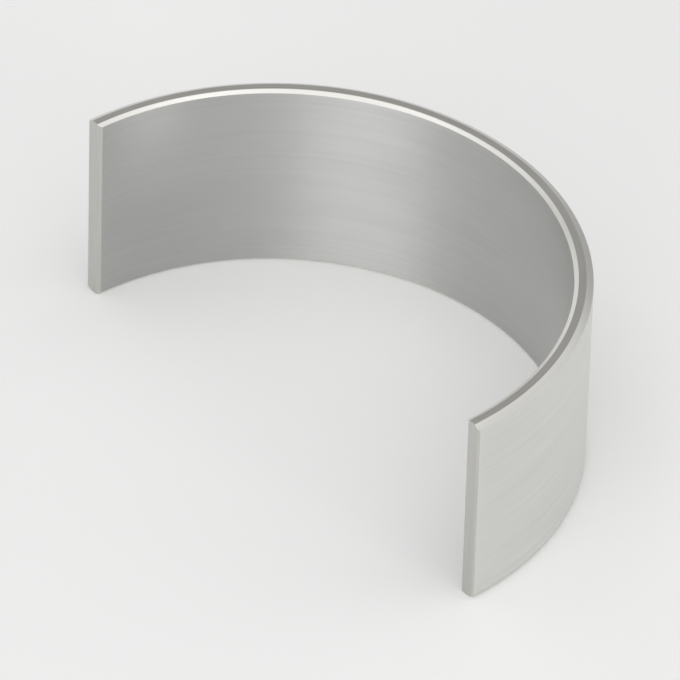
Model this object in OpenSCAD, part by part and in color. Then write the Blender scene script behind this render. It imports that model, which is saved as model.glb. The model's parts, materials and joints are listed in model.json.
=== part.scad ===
// Plain half bearing shell for the big end of a connecting rod.
// Z is the bearing axis. The joint faces lie in the plane y = 0 and the crown points to +Y.
// The origin is on the bearing axis, half-way along the width of the shell.

/* [Shell] */
// Diameter of the housing bore that the back of the shell seats in
housing_d = 48; // [40:0.5:70]
// Thickness of the wall, from the back to the bore
wall = 1.5; // [1.4:0.05:3]
// Width of the shell along the bearing axis
shell_w = 16.8; // [10:0.1:40]

/* [Edges] */
// Leg across the wall of the chamfer between the bore and each end face
bore_chamfer = 0.35; // [0.1:0.05:0.65]
// Leg across the wall of the chamfer between the back and each end face
back_chamfer = 0.55; // [0.1:0.05:0.65]
// Angle between the chamfers and the end faces
chamfer_angle = 30; // [15:1:45]
// Leg of the edge break where the bore meets each joint face
bore_joint_break = 0.25; // [0.1:0.05:0.6]
// Leg of the edge break where the back meets each joint face
back_joint_break = 0.15; // [0.05:0.05:0.6]

/* [Hidden] */
$fn = 180;

// Radius of the back and of the bore
back_r = housing_d / 2;
bore_r = back_r - wall;
// How far each chamfer reaches along the bearing axis
bore_chamfer_depth = bore_chamfer * tan(chamfer_angle);
back_chamfer_depth = back_chamfer * tan(chamfer_angle);
// How far a cutter runs past the face that it cuts
overrun = 1;

// Section of the strip: radius across, bearing axis up, with all four corners chamfered.
module strip_section() {
    half_w = shell_w / 2;
    polygon([
        [bore_r + bore_chamfer, -half_w],
        [back_r - back_chamfer, -half_w],
        [back_r, -half_w + back_chamfer_depth],
        [back_r, half_w - back_chamfer_depth],
        [back_r - back_chamfer, half_w],
        [bore_r + bore_chamfer, half_w],
        [bore_r, half_w - bore_chamfer_depth],
        [bore_r, -half_w + bore_chamfer_depth],
    ]);
}

// Prism that takes the corner off a joint face: the corner lies at radius r and the wall
// is on the side that inward points to, 1 for a greater radius and -1 for a smaller one.
module edge_cutter(r, leg, inward) {
    reach = leg + overrun;
    linear_extrude(height = shell_w + 2 * overrun, center = true)
        polygon([
            [r + inward * reach, -overrun],
            [r - inward * overrun, reach],
            [r - inward * overrun, -overrun],
        ]);
}

// Both edge breaks of the joint face at +X.
module joint_breaks() {
    edge_cutter(bore_r, bore_joint_break, 1);
    edge_cutter(back_r, back_joint_break, -1);
}

// The half shell: the strip bent round the bearing axis, with its joint edges broken.
module bearing_shell() {
    color([0.76, 0.76, 0.74])
        difference() {
            rotate_extrude(angle = 180)
                strip_section();
            joint_breaks();
            mirror([1, 0, 0])
                joint_breaks();
        }
}

bearing_shell();
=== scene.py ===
"""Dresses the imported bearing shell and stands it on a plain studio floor."""
import json
import math

import bmesh
import bpy
from mathutils import Matrix, Vector


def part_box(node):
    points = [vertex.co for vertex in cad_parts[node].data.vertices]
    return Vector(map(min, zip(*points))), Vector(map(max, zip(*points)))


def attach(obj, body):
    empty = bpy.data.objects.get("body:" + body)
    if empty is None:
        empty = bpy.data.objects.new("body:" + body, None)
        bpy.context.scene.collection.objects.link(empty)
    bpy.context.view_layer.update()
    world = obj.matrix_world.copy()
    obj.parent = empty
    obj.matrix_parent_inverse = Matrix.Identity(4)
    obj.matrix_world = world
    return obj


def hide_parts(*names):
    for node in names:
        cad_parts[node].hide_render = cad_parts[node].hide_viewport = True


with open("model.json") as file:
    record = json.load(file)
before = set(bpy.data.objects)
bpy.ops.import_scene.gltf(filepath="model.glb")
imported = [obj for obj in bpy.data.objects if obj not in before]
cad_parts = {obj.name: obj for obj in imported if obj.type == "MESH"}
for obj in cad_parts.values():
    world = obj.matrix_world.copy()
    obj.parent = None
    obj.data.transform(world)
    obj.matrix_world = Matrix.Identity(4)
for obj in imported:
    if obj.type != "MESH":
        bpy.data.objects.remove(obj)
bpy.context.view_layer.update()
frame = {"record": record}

bl_info = {
    "name": "Bearing shell",
    "version": (1, 0, 0),
    "blender": (4, 5, 0),
    "location": "View3D > Sidebar > Bearing shell",
    "description": "Models and finishes a plain half bearing shell and sets up its studio",
    "category": "Object",
}

MM = 0.001
UM = 0.001 * MM
NODE = "bearing_shell"
BODY = "root"
PIECE = "half_shell"


def mount_dims(name):
    """Radius and length of one of the part's mounts, in metres."""
    mount = next(m for m in frame["record"]["mounts"] if m["name"] == name)
    return mount["dims"]["r_mm"] * MM, mount["dims"]["length_mm"] * MM


BORE_R, BORE_L = mount_dims("journal_bore")
BACK_R, BACK_L = mount_dims("housing_back")
LOW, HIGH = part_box(NODE)
WIDTH = HIGH.z - LOW.z


# Settings


class ShellSizes(bpy.types.PropertyGroup):
    """Sizes of the shell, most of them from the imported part."""

    bore_radius: bpy.props.FloatProperty(
        name="Bore radius", description="Radius that runs on the journal",
        default=BORE_R, precision=5, unit="LENGTH")
    back_radius: bpy.props.FloatProperty(
        name="Back radius", description="Radius that seats in the housing",
        default=BACK_R, precision=5, unit="LENGTH")
    width: bpy.props.FloatProperty(
        name="Width", description="Width along the bearing axis",
        default=WIDTH, precision=5, unit="LENGTH")
    bore_chamfer_depth: bpy.props.FloatProperty(
        name="Bore chamfer depth", description="Reach along the axis of the chamfers at the bore",
        default=(WIDTH - BORE_L) / 2, precision=5, unit="LENGTH")
    back_chamfer_depth: bpy.props.FloatProperty(
        name="Back chamfer depth", description="Reach along the axis of the chamfers at the back",
        default=(WIDTH - BACK_L) / 2, precision=5, unit="LENGTH")
    chamfer_angle: bpy.props.FloatProperty(
        name="Chamfer angle", description="Angle between the chamfers and the end faces",
        default=math.radians(30), subtype="ANGLE")
    bore_joint_break: bpy.props.FloatProperty(
        name="Bore joint break", description="Leg of the edge break between the bore and a joint face",
        default=0.25 * MM, precision=5, unit="LENGTH")
    back_joint_break: bpy.props.FloatProperty(
        name="Back joint break", description="Leg of the edge break between the back and a joint face",
        default=0.15 * MM, precision=5, unit="LENGTH")
    edge_round: bpy.props.FloatProperty(
        name="Edge round", description="Rounding left on every machined edge",
        default=0.03 * MM, precision=5, unit="LENGTH")


class ShellFinish(bpy.types.PropertyGroup):
    """Colours and polish of the shell's surfaces."""

    lining_color: bpy.props.FloatVectorProperty(
        name="Lining", description="Colour of the bored lining",
        subtype="COLOR", size=3, min=0, max=1, default=(0.55, 0.55, 0.54))
    back_color: bpy.props.FloatVectorProperty(
        name="Back", description="Colour of the rolled steel back",
        subtype="COLOR", size=3, min=0, max=1, default=(0.73, 0.735, 0.705))
    # Ivory of the bore chamfers: partly the alloy's own tone, partly a painted highlight that makes them
    # lighter than the lining they are cut from
    bore_chamfer_tone_and_highlight: bpy.props.FloatVectorProperty(
        name="Bore chamfer", description="Colour of the chamfers at the bore",
        subtype="COLOR", size=3, min=0, max=1, default=(0.88, 0.87, 0.825))
    back_chamfer_color: bpy.props.FloatVectorProperty(
        name="Back chamfer", description="Colour of the chamfers at the back",
        subtype="COLOR", size=3, min=0, max=1, default=(0.72, 0.715, 0.68))
    mark_color: bpy.props.FloatVectorProperty(
        name="Chamfer marks", description="Colour of the tool marks on the chamfers",
        subtype="COLOR", size=3, min=0, max=1, default=(0.45, 0.44, 0.42))
    faced_color: bpy.props.FloatVectorProperty(
        name="Faced end", description="Colour of the faced ends",
        subtype="COLOR", size=3, min=0, max=1, default=(0.60, 0.59, 0.555))
    joint_color: bpy.props.FloatVectorProperty(
        name="Joint face", description="Colour of the broached joint faces",
        subtype="COLOR", size=3, min=0, max=1, default=(0.56, 0.555, 0.53))
    bore_roughness: bpy.props.FloatProperty(
        name="Bore roughness", description="Roughness of the bored lining",
        subtype="FACTOR", min=0, max=1, default=0.46)
    back_roughness: bpy.props.FloatProperty(
        name="Back roughness", description="Roughness of the rolled back",
        subtype="FACTOR", min=0, max=1, default=0.42)
    cut_roughness: bpy.props.FloatProperty(
        name="Cut roughness", description="Roughness of the turned chamfers",
        subtype="FACTOR", min=0, max=1, default=0.34)
    faced_roughness: bpy.props.FloatProperty(
        name="Faced roughness", description="Roughness of the faced ends and joint faces",
        subtype="FACTOR", min=0, max=1, default=0.36)
    brushed: bpy.props.FloatProperty(
        name="Brushed", description="How far the bore and the back draw the light out across their marks",
        subtype="FACTOR", min=0, max=1, default=0.75)


class Studio(bpy.types.PropertyGroup):
    """Floor, light and camera."""

    floor_color: bpy.props.FloatVectorProperty(
        name="Floor", description="Colour of the floor",
        subtype="COLOR", size=3, min=0, max=1, default=(0.97, 0.97, 0.965))
    floor_roughness: bpy.props.FloatProperty(
        name="Floor roughness", description="Roughness of the floor",
        subtype="FACTOR", min=0, max=1, default=0.8)
    floor_reach: bpy.props.FloatProperty(
        name="Floor reach", description="Half the side of the floor",
        default=2.0, unit="LENGTH")
    ambient: bpy.props.FloatProperty(
        name="Ambient", description="Level of the light from all round", default=0.42, min=0)
    view_azimuth: bpy.props.FloatProperty(
        name="Azimuth", description="Where the camera stands, from -Y towards +X",
        default=math.radians(50.2), subtype="ANGLE")
    view_elevation: bpy.props.FloatProperty(
        name="Elevation", description="Height of the camera above the horizon",
        default=math.radians(38.7), subtype="ANGLE")
    view_roll: bpy.props.FloatProperty(
        name="Roll", description="Turn of the camera about its line of sight",
        default=math.radians(1.7), subtype="ANGLE")
    view_distance: bpy.props.FloatProperty(
        name="Distance", description="From the camera to the point that it looks at",
        default=779 * MM, unit="LENGTH")
    view_aim: bpy.props.FloatVectorProperty(
        name="Aim", description="Point that the camera looks at",
        subtype="TRANSLATION", size=3, default=(1.4 * MM, 5.0 * MM, 0.0))
    lens: bpy.props.FloatProperty(
        name="Lens", description="Focal length in millimetres", default=535, min=1)


# Shader expressions


class Socket:
    """An output socket that takes part in Python expressions, which add Math nodes."""

    def __init__(self, finish, socket):
        self.finish = finish
        self.socket = socket

    def __add__(self, other):
        return self.finish.math("ADD", self, other)

    def __radd__(self, other):
        return self.finish.math("ADD", other, self)

    def __sub__(self, other):
        return self.finish.math("SUBTRACT", self, other)

    def __rsub__(self, other):
        return self.finish.math("SUBTRACT", other, self)

    def __mul__(self, other):
        return self.finish.math("MULTIPLY", self, other)

    def __rmul__(self, other):
        return self.finish.math("MULTIPLY", other, self)

    def __truediv__(self, other):
        return self.finish.math("DIVIDE", self, other)

    def __rtruediv__(self, other):
        return self.finish.math("DIVIDE", other, self)


class Finish:
    """A node material that is being written, with its lengths in millimetres."""

    MIX_FACTOR, MIX_LOW, MIX_HIGH, MIX_COLOR = 0, 6, 7, 2
    QUARTER_TURN = 0.25
    NOISE_MEAN, NOISE_ROUGHNESS = 0.5, 0.55

    def __init__(self, name):
        self.material = bpy.data.materials.new(name)
        self.material.use_nodes = True
        self.tree = self.material.node_tree
        self.tree.nodes.clear()

    def node(self, kind, settings=None, inputs=None, output=0):
        """Adds a node: its settings first, then the values or links of its sockets."""
        made = self.tree.nodes.new(kind)
        for name, value in (settings or {}).items():
            setattr(made, name, value)
        for name, value in (inputs or {}).items():
            if isinstance(value, Socket):
                self.tree.links.new(value.socket, made.inputs[name])
            else:
                made.inputs[name].default_value = value
        return Socket(self, made.outputs[output]) if made.outputs else made

    def math(self, operation, *values):
        """Adds a Math node."""
        return self.node("ShaderNodeMath", {"operation": operation}, dict(enumerate(values)))

    def blend(self, factor, low, high):
        """Mixes two colours, each a socket or an (r, g, b)."""
        low, high = (c if isinstance(c, Socket) else (*c, 1.0) for c in (low, high))
        inputs = {self.MIX_FACTOR: factor, self.MIX_LOW: low, self.MIX_HIGH: high}
        return self.node("ShaderNodeMix", {"data_type": "RGBA"}, inputs, output=self.MIX_COLOR)

    def vary(self, color, tone, darkest, lightest):
        """A colour that a tone from 0 to 1 takes from its darkest to its lightest share."""
        return self.blend(tone, Vector(color) * darkest, Vector(color) * lightest)

    def sway(self, level, *swings):
        """A level that noises move up and down, each over its own span."""
        for noise, span in swings:
            level = level + span * (noise - self.NOISE_MEAN)
        return level

    def step(self, value, start, end):
        """Goes smoothly from 0 to 1 as a value goes from start to end."""
        inputs = {"Value": value, "From Min": start, "From Max": end}
        return self.node("ShaderNodeMapRange", {"interpolation_type": "SMOOTHSTEP"}, inputs)

    def spot(self, axis):
        """One coordinate of the point that is shaded."""
        point = self.node("ShaderNodeTexCoord", output="Object")
        return self.node("ShaderNodeSeparateXYZ", None, {"Vector": point}, output=axis) / MM

    def radius(self):
        """Distance of the point from the bearing axis."""
        x, y = self.spot("X"), self.spot("Y")
        return self.math("SQRT", x * x + y * y)

    def arc(self):
        """Way round the bearing axis to the point, as a length on the bore."""
        return self.math("ARCTAN2", self.spot("Y"), self.spot("X")) * (BORE_R / MM)

    def height(self):
        """Height of the point along the bearing axis."""
        return self.spot("Z")

    def grain(self, along, across, run, pitch, detail=3.0):
        """Noise from 0 to 1 whose marks are run long and pitch wide."""
        vector = self.node("ShaderNodeCombineXYZ", None, {"X": along / run, "Y": across / pitch})
        inputs = {"Vector": vector, "Scale": 1.0, "Detail": detail, "Roughness": self.NOISE_ROUGHNESS}
        return self.node("ShaderNodeTexNoise", {"noise_dimensions": "2D"}, inputs)

    def shade(self, color, roughness, metallic=1.0, relief=None, depth=0.0, brushed=0.0, gloss=0.5):
        """Ends the material in its shader, with a relief of that depth and a sheen across the marks."""
        inputs = {"Base Color": color, "Roughness": roughness, "Metallic": metallic,
                  "Anisotropic": brushed, "Anisotropic Rotation": self.QUARTER_TURN,
                  "Specular IOR Level": gloss}
        if relief is not None:
            bump = {"Height": relief, "Strength": 1.0, "Distance": depth}
            inputs["Normal"] = self.node("ShaderNodeBump", None, bump)
        surface = self.node("ShaderNodeBsdfPrincipled", None, inputs)
        self.node("ShaderNodeOutputMaterial", None, {"Surface": surface})
        return self.material


# Finishes


def bored_lining(finish):
    """Soft grey lining with the fine marks of the boring tool and a few dull patches."""
    made = Finish("bored_lining")
    arc, height = made.arc(), made.height()
    feed = made.grain(arc, height, run=30, pitch=0.3, detail=1.0)
    patches = made.grain(arc, height, run=8, pitch=3.5)
    color = made.vary(finish.lining_color, 0.5 * patches + 0.5 * feed, darkest=0.90, lightest=1.10)
    roughness = made.sway(finish.bore_roughness, (patches, 0.08), (feed, 0.04))
    return made.shade(color, roughness, relief=feed, depth=1.3 * UM, brushed=finish.brushed)


def turned_chamfer(finish):
    """Turned chamfer, ivory at the bore and greyer at the back, with faint tool marks; the ivory is
    partly the alloy's own tone and partly a painted highlight.
    """
    made = Finish("turned_chamfer")
    radius = made.radius()
    marks = made.grain(made.arc(), radius, run=9, pitch=0.11)
    outer = made.step(radius, start=BORE_R / MM, end=BACK_R / MM)
    # The ivory towards the bore is partly a painted highlight, lighter than the lining colour
    base = made.blend(outer, finish.bore_chamfer_tone_and_highlight, finish.back_chamfer_color)
    color = made.blend(0.18 * marks, base, finish.mark_color)
    roughness = made.sway(finish.cut_roughness, (marks, 0.08))
    return made.shade(color, roughness, relief=marks, depth=0.25 * UM)


def faced_end(finish):
    """Dull faced end with concentric tool marks."""
    made = Finish("faced_end")
    arc, radius = made.arc(), made.radius()
    marks = made.grain(arc, radius, run=12, pitch=0.10)
    patches = made.grain(arc, radius, run=3, pitch=1.2)
    color = made.vary(finish.faced_color, 0.5 * patches + 0.5 * marks, darkest=0.86, lightest=1.14)
    roughness = made.sway(finish.faced_roughness, (marks, 0.14))
    return made.shade(color, roughness, relief=marks, depth=0.5 * UM)


def joint_cut(finish):
    """Joint face broached along the bearing axis."""
    made = Finish("joint_cut")
    marks = made.grain(made.height(), made.radius(), run=7, pitch=0.09)
    color = made.vary(finish.joint_color, marks, darkest=0.88, lightest=1.12)
    roughness = made.sway(finish.faced_roughness, (marks, 0.14))
    return made.shade(color, roughness, relief=marks, depth=0.5 * UM)


def hair_scratches(made, arc, height):
    """Mask of a few fine scratches that lie a little askew."""
    noise = made.grain(arc + 0.3 * height, height - 0.2 * arc, run=4, pitch=0.14)
    return made.step(noise, start=0.67, end=0.74)


def rolled_back(finish):
    """Pale satin back with faint rolling lines, soft patches and a few hair scratches."""
    made = Finish("rolled_back")
    arc, height = made.arc(), made.height()
    lines = made.grain(arc, height, run=14, pitch=0.3)
    patches = made.grain(arc, height, run=6, pitch=3.0)
    hair = hair_scratches(made, arc, height)
    color = made.vary(finish.back_color, 0.4 * patches + 0.6 * lines, darkest=0.89, lightest=1.10)
    roughness = made.sway(finish.back_roughness, (patches, 0.14), (lines, 0.08)) - 0.08 * hair
    relief = lines - 0.5 * hair
    return made.shade(color, roughness, relief=relief, depth=1.3 * UM, brushed=finish.brushed)


FINISHES = (bored_lining, turned_chamfer, faced_end, joint_cut, rolled_back)
LINING, CHAMFER, FACED, JOINT, BACK = range(len(FINISHES))


# Shell


# Facets round the half circle
STEPS = 240
# Edges that fold by more than this are rounded
SHARP = math.radians(20)
# Edges that fold by more than this are shaded crisp
CRISP = math.radians(5)
# Least lean of a face along the bearing axis if it is square to it, and if it is a chamfer
SQUARE, SLANTED = 0.98, 0.3
# Least lean of a face along the radius if it is part of the bore or the back
ROUND = 0.9
# How far past an edge break the faces are cut
CUT_MARGIN = 2 * MM


def strip_section(bm, sizes):
    """Adds the chamfered section of the strip, standing on the joint plane at +X."""
    half = sizes.width / 2
    inner, outer = sizes.bore_radius, sizes.back_radius
    bore_depth, back_depth = sizes.bore_chamfer_depth, sizes.back_chamfer_depth
    slope = math.tan(sizes.chamfer_angle)
    inner_flat, outer_flat = inner + bore_depth / slope, outer - back_depth / slope
    corners = (
        (inner_flat, -half),
        (outer_flat, -half),
        (outer, back_depth - half),
        (outer, half - back_depth),
        (outer_flat, half),
        (inner_flat, half),
        (inner, half - bore_depth),
        (inner, bore_depth - half),
    )
    return bm.faces.new([bm.verts.new((x, 0.0, z)) for x, z in corners])


def bend_strip(bm, section):
    """Sweeps the section half-way round the bearing axis."""
    geom = [section, *section.edges, *section.verts]
    bmesh.ops.spin(bm, geom=geom, cent=(0, 0, 0), axis=(0, 0, 1), angle=math.pi, steps=STEPS)
    bmesh.ops.remove_doubles(bm, verts=bm.verts, dist=UM)
    bmesh.ops.recalc_face_normals(bm, faces=bm.faces)


def mark_zones(bm):
    """Gives each face the finish of the cut that made it."""
    for face in bm.faces:
        centre = face.calc_center_median()
        outward = Vector((centre.x, centre.y, 0)).normalized()
        push = face.normal.dot(outward)
        if abs(face.normal.z) > SQUARE:
            face.material_index = FACED
        elif abs(face.normal.z) > SLANTED:
            face.material_index = CHAMFER
        elif push > ROUND:
            face.material_index = BACK
        elif push < -ROUND:
            face.material_index = LINING
        else:
            face.material_index = JOINT


def break_joint_edge(bm, side, radius, leg, inward):
    """Cuts the corner off one long edge of a joint face; inward points into the wall."""
    zone = leg + CUT_MARGIN
    near = [f for f in bm.faces if all(v.co.x * side > 0 and v.co.y < zone for v in f.verts)]
    edges = {e for f in near for e in f.edges}
    verts = {v for f in near for v in f.verts}
    cut = bmesh.ops.bisect_plane(
        bm, geom=[*near, *edges, *verts], dist=UM,
        plane_co=(side * (radius + inward * leg), 0, 0),
        plane_no=(-side * inward, -1, 0), clear_outer=True)
    rim = [e for e in cut["geom_cut"] if isinstance(e, bmesh.types.BMEdge)]
    for face in bmesh.ops.holes_fill(bm, edges=rim)["faces"]:
        face.material_index = JOINT


def round_edges(bm, radius):
    """Rounds every sharp edge a little, and keeps its two sides crisp."""
    sharp = [e for e in bm.edges if e.calc_face_angle(0.0) > SHARP]
    bmesh.ops.bevel(
        bm, geom=sharp, offset=radius, offset_type="OFFSET", affect="EDGES",
        segments=2, profile=0.5, material=-1, clamp_overlap=False)
    for face in bm.faces:
        face.smooth = True
    for edge in bm.edges:
        edge.smooth = edge.calc_face_angle(0.0) < CRISP


class BEARING_OT_make_shell(bpy.types.Operator):
    """Model the half shell in place of the plain solid and finish its surfaces"""

    bl_idname = "bearing.make_shell"
    bl_label = "Make the half shell"

    def execute(self, context):
        sizes, finish = context.scene.shell_sizes, context.scene.shell_finish
        bm = bmesh.new()
        bend_strip(bm, strip_section(bm, sizes))
        mark_zones(bm)
        for side in (1, -1):
            break_joint_edge(bm, side, sizes.bore_radius, sizes.bore_joint_break, 1)
            break_joint_edge(bm, side, sizes.back_radius, sizes.back_joint_break, -1)
        round_edges(bm, sizes.edge_round)
        mesh = bpy.data.meshes.new(PIECE)
        bm.to_mesh(mesh)
        bm.free()
        for make in FINISHES:
            mesh.materials.append(make(finish))
        shell = bpy.data.objects.new(PIECE, mesh)
        context.scene.collection.objects.link(shell)
        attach(shell, BODY)
        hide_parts(NODE)
        return {"FINISHED"}


# Stage


LAMP_REACH = 0.8
CLIP_NEAR, CLIP_FAR = 0.01, 10


def aim(azimuth, elevation):
    """Unit vector from the object towards a place round it."""
    level = math.cos(elevation)
    return Vector((math.sin(azimuth) * level, -math.cos(azimuth) * level, math.sin(elevation)))


def softbox(scene, name, azimuth, elevation, width, height, radiance):
    """Lamp that faces the object and looks as bright as the radiance says; angles in degrees."""
    lamp = bpy.data.lights.new(name, "AREA")
    lamp.shape = "RECTANGLE"
    lamp.size, lamp.size_y = width, height
    lamp.energy = radiance * math.pi * width * height
    holder = bpy.data.objects.new(name, lamp)
    towards = aim(math.radians(azimuth), math.radians(elevation))
    holder.location = towards * LAMP_REACH
    holder.rotation_euler = towards.to_track_quat("Z", "Y").to_euler()
    scene.collection.objects.link(holder)


class BEARING_OT_make_stage(bpy.types.Operator):
    """Lay the floor, hang the lamps and set the camera"""

    bl_idname = "bearing.make_stage"
    bl_label = "Make the stage"

    def execute(self, context):
        scene, studio = context.scene, context.scene.studio
        scene.view_settings.view_transform = "Standard"
        self.lay_floor(scene, studio)
        self.light(scene, studio)
        self.set_camera(scene, studio)
        return {"FINISHED"}

    def lay_floor(self, scene, studio):
        """A plain matt floor under the shell."""
        bm = bmesh.new()
        level = Matrix.Translation((0, 0, LOW.z))
        bmesh.ops.create_grid(bm, x_segments=1, y_segments=1, size=studio.floor_reach, matrix=level)
        mesh = bpy.data.meshes.new("floor")
        bm.to_mesh(mesh)
        bm.free()
        made = Finish("pale_floor")
        color = (*studio.floor_color, 1.0)
        mesh.materials.append(made.shade(color, studio.floor_roughness, metallic=0.0, gloss=0.0))
        floor = bpy.data.objects.new("floor", mesh)
        scene.collection.objects.link(floor)

    def light(self, scene, studio):
        """Even light from all round, and soft lamps that model the shell."""
        world = bpy.data.worlds.new("soft_room")
        world.use_nodes = True
        sky = world.node_tree.nodes["Background"]
        sky.inputs["Color"].default_value = (1, 1, 1, 1)
        sky.inputs["Strength"].default_value = studio.ambient
        scene.world = world
        softbox(scene, "key", azimuth=170, elevation=60, width=0.7, height=0.7, radiance=0.44)
        softbox(scene, "left", azimuth=288, elevation=56, width=0.5, height=0.5, radiance=0.52)
        softbox(scene, "front", azimuth=22, elevation=8, width=0.65, height=0.2, radiance=4.9)
        softbox(scene, "right", azimuth=98, elevation=8, width=0.2, height=0.2, radiance=7.0)
        softbox(scene, "over_front", azimuth=45, elevation=62, width=1.2, height=1.0, radiance=0.70)
        softbox(scene, "low_back", azimuth=152, elevation=22, width=0.9, height=0.4, radiance=0.65)
        softbox(scene, "low_left", azimuth=265, elevation=14, width=0.8, height=0.4, radiance=0.45)

    def set_camera(self, scene, studio):
        """A long lens that looks down into the bore over one joint face."""
        data = bpy.data.cameras.new("camera")
        data.lens = studio.lens
        data.clip_start, data.clip_end = CLIP_NEAR, CLIP_FAR
        camera = bpy.data.objects.new("camera", data)
        back = aim(studio.view_azimuth, studio.view_elevation)
        camera.location = Vector(studio.view_aim) + back * studio.view_distance
        turn = (-back).to_track_quat("-Z", "Y").to_matrix() @ Matrix.Rotation(studio.view_roll, 3, "Z")
        camera.rotation_euler = turn.to_euler()
        scene.collection.objects.link(camera)
        scene.camera = camera


# Panel and registration


class BEARING_PT_panel(bpy.types.Panel):
    """Bearing shell tools"""

    bl_label = "Bearing shell"
    bl_idname = "BEARING_PT_panel"
    bl_space_type = "VIEW_3D"
    bl_region_type = "UI"
    bl_category = "Bearing shell"

    def draw(self, context):
        layout, scene = self.layout, context.scene
        for operator, settings in ((BEARING_OT_make_shell, (scene.shell_sizes, scene.shell_finish)),
                                   (BEARING_OT_make_stage, (scene.studio,))):
            box = layout.box()
            box.operator(operator.bl_idname)
            for group in settings:
                for name in group.__annotations__:
                    box.prop(group, name)


SETTINGS = {"shell_sizes": ShellSizes, "shell_finish": ShellFinish, "studio": Studio}
CLASSES = (*SETTINGS.values(), BEARING_OT_make_shell, BEARING_OT_make_stage, BEARING_PT_panel)


def register():
    for cls in CLASSES:
        bpy.utils.register_class(cls)
    for name, group in SETTINGS.items():
        setattr(bpy.types.Scene, name, bpy.props.PointerProperty(type=group))


def unregister():
    for name in SETTINGS:
        delattr(bpy.types.Scene, name)
    for cls in reversed(CLASSES):
        bpy.utils.unregister_class(cls)


def main():
    register()
    bpy.ops.bearing.make_shell()
    bpy.ops.bearing.make_stage()


if __name__ == "__main__":
    main()
